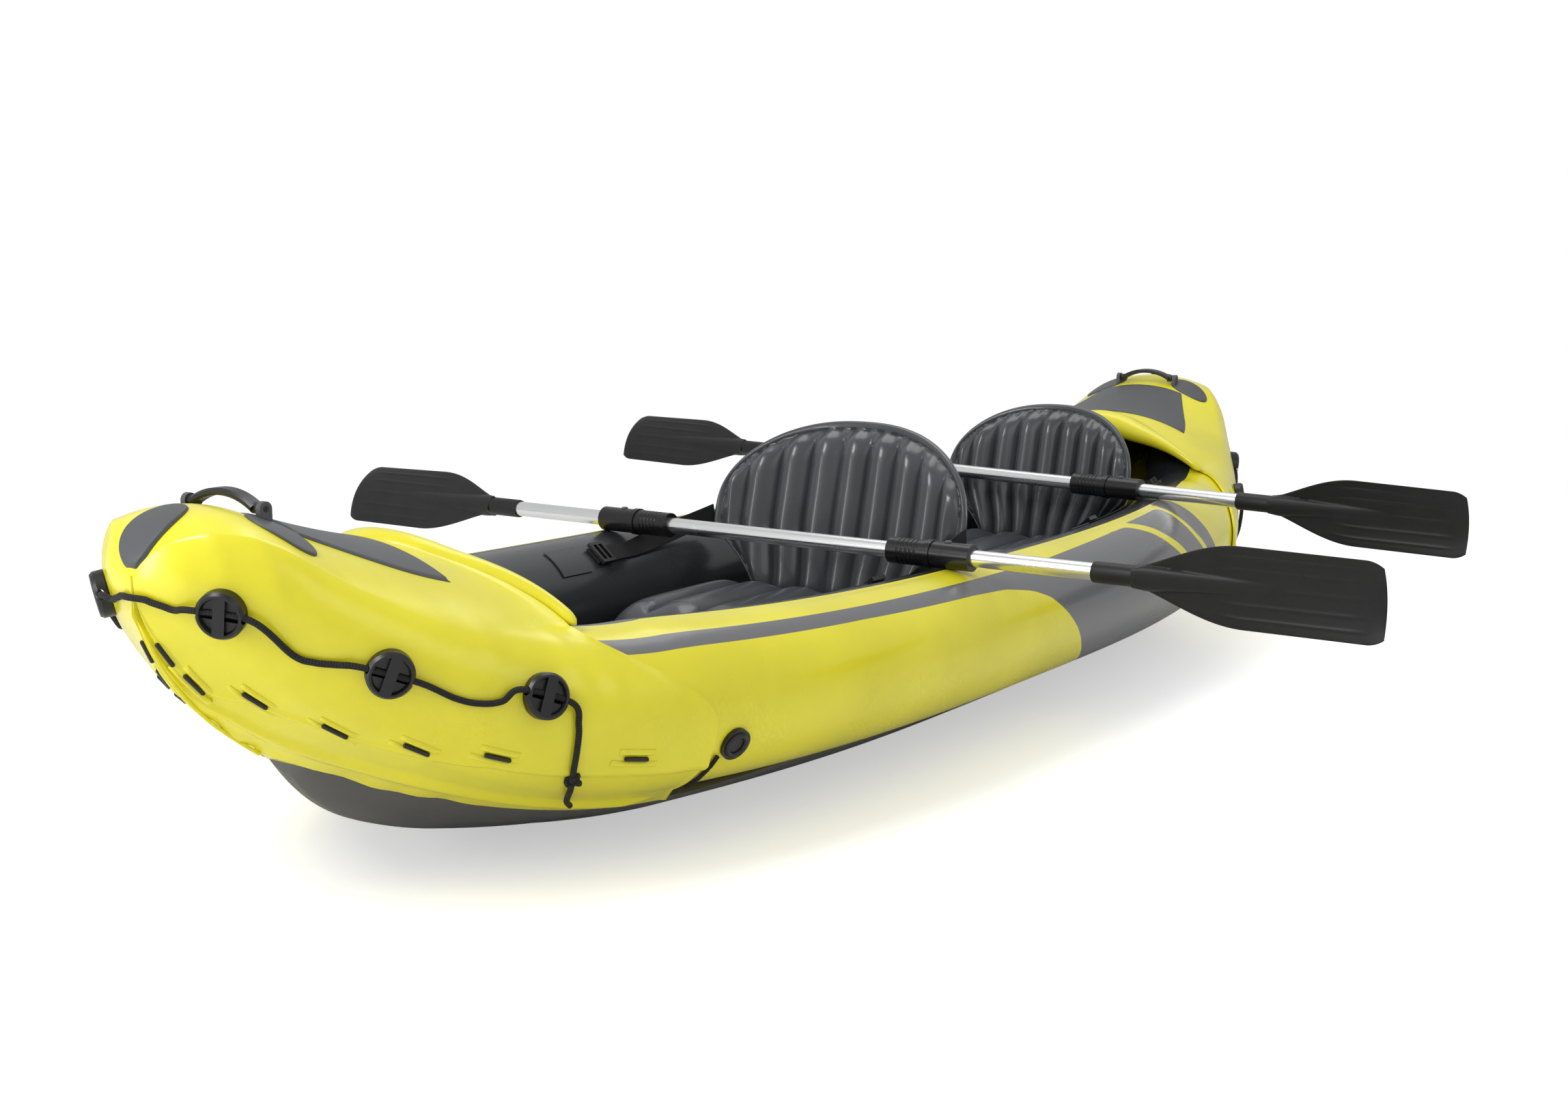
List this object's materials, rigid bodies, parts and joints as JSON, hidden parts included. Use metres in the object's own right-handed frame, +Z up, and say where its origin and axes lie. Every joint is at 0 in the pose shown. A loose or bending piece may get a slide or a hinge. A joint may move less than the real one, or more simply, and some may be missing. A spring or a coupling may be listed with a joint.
{
  "type": "tandem kayak",
  "caption": "Inflatable tandem kayak with laced end covers, fluted seats, grab lines and take-apart paddles laid across its side tubes.",
  "frame": {"origin": "middle of the flat underside of the floor chamber, on the ground", "axes": "+X to the bow, +Y to port, +Z up"},
  "size_m": [2.9164, 2.1638, 0.5291],
  "materials": {
    "hull_vinyl": "glossy laminated vinyl sheet",
    "sole_vinyl": "satin laminated vinyl sheet",
    "seat_vinyl": "satin vinyl",
    "patch_vinyl": "satin welded patch",
    "moulding": "moulded plastic",
    "valve_plastic": "moulded plastic",
    "cord": "braided cord",
    "webbing": "woven strap",
    "shaft_metal": "drawn tube",
    "blade_plastic": "moulded plastic"
  },
  "bodies": {
    "hull": {"port_tube": "hull_vinyl", "starboard_tube": "hull_vinyl", "floor_chamber": "sole_vinyl", "bow_cover": "hull_vinyl", "stern_cover": "hull_vinyl", "bow_splash_roll": "hull_vinyl", "stern_splash_roll": "hull_vinyl", "bow_nose_patch": "patch_vinyl", "stern_nose_patch": "patch_vinyl", "bow_deck_panel": "patch_vinyl", "stern_deck_panel": "patch_vinyl", "handle_patches": "patch_vinyl", "handle_lugs": "moulding", "line_discs": "moulding", "bow_grab_line": "cord", "stern_grab_line": "cord", "cover_lacing": "cord", "lash_rings": "moulding", "lash_cords": "cord", "strap_anchors": "patch_vinyl", "strap_buckles": "moulding", "port_valve": "valve_plastic", "starboard_valve": "valve_plastic", "floor_valve": "valve_plastic", "front_cushion": "seat_vinyl", "front_strap_port": "webbing", "front_strap_starboard": "webbing", "front_cushion_valve": "valve_plastic", "rear_cushion": "seat_vinyl", "rear_strap_port": "webbing", "rear_strap_starboard": "webbing", "rear_cushion_valve": "valve_plastic"},
    "front_back": {"front_backrest": "seat_vinyl", "front_backrest_valve": "valve_plastic"},
    "front_paddle": {"front_shaft_mid": "shaft_metal", "front_coupler_port": "moulding", "front_coupler_starboard": "moulding"},
    "front_blade_port_body": {"front_blade_port": "blade_plastic", "front_shaft_port": "shaft_metal"},
    "front_button_port_body": {"front_button_port": "moulding"},
    "front_blade_starboard_body": {"front_blade_starboard": "blade_plastic", "front_shaft_starboard": "shaft_metal"},
    "front_button_starboard_body": {"front_button_starboard": "moulding"},
    "rear_back": {"rear_backrest": "seat_vinyl", "rear_backrest_valve": "valve_plastic"},
    "rear_paddle": {"rear_shaft_mid": "shaft_metal", "rear_coupler_port": "moulding", "rear_coupler_starboard": "moulding"},
    "rear_blade_port_body": {"rear_blade_port": "blade_plastic", "rear_shaft_port": "shaft_metal"},
    "rear_button_port_body": {"rear_button_port": "moulding"},
    "rear_blade_starboard_body": {"rear_blade_starboard": "blade_plastic", "rear_shaft_starboard": "shaft_metal"},
    "rear_button_starboard_body": {"rear_button_starboard": "moulding"},
    "bow_handle_body": {"bow_handle": "moulding"},
    "stern_handle_body": {"stern_handle": "moulding"},
    "port_cap": {"port_valve_cap": "valve_plastic"},
    "starboard_cap": {"starboard_valve_cap": "valve_plastic"},
    "floor_cap": {"floor_valve_cap": "valve_plastic"}
  },
  "joints": [
    {"name": "front_recline", "type": "hinge", "parent": "hull", "child": "front_back", "pos_m": [-0.01, 0, 0.138], "axis": [0, -1, 0], "range_deg": [0, 20], "deforming": ["front_strap_port", "front_strap_starboard"]},
    {"name": "rear_recline", "type": "hinge", "parent": "hull", "child": "rear_back", "pos_m": [-0.777, 0, 0.138], "axis": [0, -1, 0], "range_deg": [0, 15], "deforming": ["rear_strap_port", "rear_strap_starboard"]},
    {"name": "bow_handle_swing", "type": "hinge", "parent": "hull", "child": "bow_handle_body", "pos_m": [1.314, 0, 0.50862], "axis": [0, 1, 0], "range_deg": [-15, 15]},
    {"name": "stern_handle_swing", "type": "hinge", "parent": "hull", "child": "stern_handle_body", "pos_m": [-1.314, 0, 0.50862], "axis": [0, 1, 0], "range_deg": [-15, 15]},
    {"name": "port_cap_turn", "type": "hinge", "parent": "hull", "child": "port_cap", "pos_m": [-0.915, 0.19833, 0.30471], "axis": [0.1622, -0.5822, 0.7967], "range_deg": [0, 180]},
    {"name": "starboard_cap_turn", "type": "hinge", "parent": "hull", "child": "starboard_cap", "pos_m": [-0.915, -0.19833, 0.30471], "axis": [0.1622, 0.5822, 0.7967], "range_deg": [0, 180]},
    {"name": "floor_cap_turn", "type": "hinge", "parent": "hull", "child": "floor_cap", "pos_m": [-0.85, 0, 0.10847], "axis": [-0.0721, 0, 0.9974], "range_deg": [0, 180]},
    {"name": "front_paddle_lift", "type": "slide", "parent": "hull", "child": "front_paddle", "axis": [0, 0, 1], "range_m": [0, 0.25]},
    {"name": "front_port_feather", "type": "hinge", "parent": "front_paddle", "child": "front_blade_port_body", "pos_m": [0.207, 0.02, 0.32875], "axis": [0, 1, 0], "range_deg": [-45, 45]},
    {"name": "front_port_button_press", "type": "slide", "parent": "front_paddle", "child": "front_button_port_body", "axis": [0, 0, -1], "range_m": [0, 0.0025], "stiffness_N_per_m": 600, "springref_m": -0.001},
    {"name": "front_starboard_feather", "type": "hinge", "parent": "front_paddle", "child": "front_blade_starboard_body", "pos_m": [0.207, 0.02, 0.32875], "axis": [0, 1, 0], "range_deg": [-45, 45]},
    {"name": "front_starboard_button_press", "type": "slide", "parent": "front_paddle", "child": "front_button_starboard_body", "axis": [0, 0, -1], "range_m": [0, 0.0025], "stiffness_N_per_m": 600, "springref_m": -0.001},
    {"name": "rear_paddle_lift", "type": "slide", "parent": "hull", "child": "rear_paddle", "axis": [0, 0, 1], "range_m": [0, 0.25]},
    {"name": "rear_port_feather", "type": "hinge", "parent": "rear_paddle", "child": "rear_blade_port_body", "pos_m": [-0.697, -0.094, 0.33913], "axis": [0.0715, 0.9973, -0.0142], "range_deg": [-45, 45]},
    {"name": "rear_port_button_press", "type": "slide", "parent": "rear_paddle", "child": "rear_button_port_body", "axis": [-0.001, -0.0142, -0.9999], "range_m": [0, 0.0025], "stiffness_N_per_m": 600, "springref_m": -0.001},
    {"name": "rear_starboard_feather", "type": "hinge", "parent": "rear_paddle", "child": "rear_blade_starboard_body", "pos_m": [-0.697, -0.094, 0.33913], "axis": [0.0715, 0.9973, -0.0142], "range_deg": [-45, 45]},
    {"name": "rear_starboard_button_press", "type": "slide", "parent": "rear_paddle", "child": "rear_button_starboard_body", "axis": [-0.001, -0.0142, -0.9999], "range_m": [0, 0.0025], "stiffness_N_per_m": 600, "springref_m": -0.001}
  ]
}
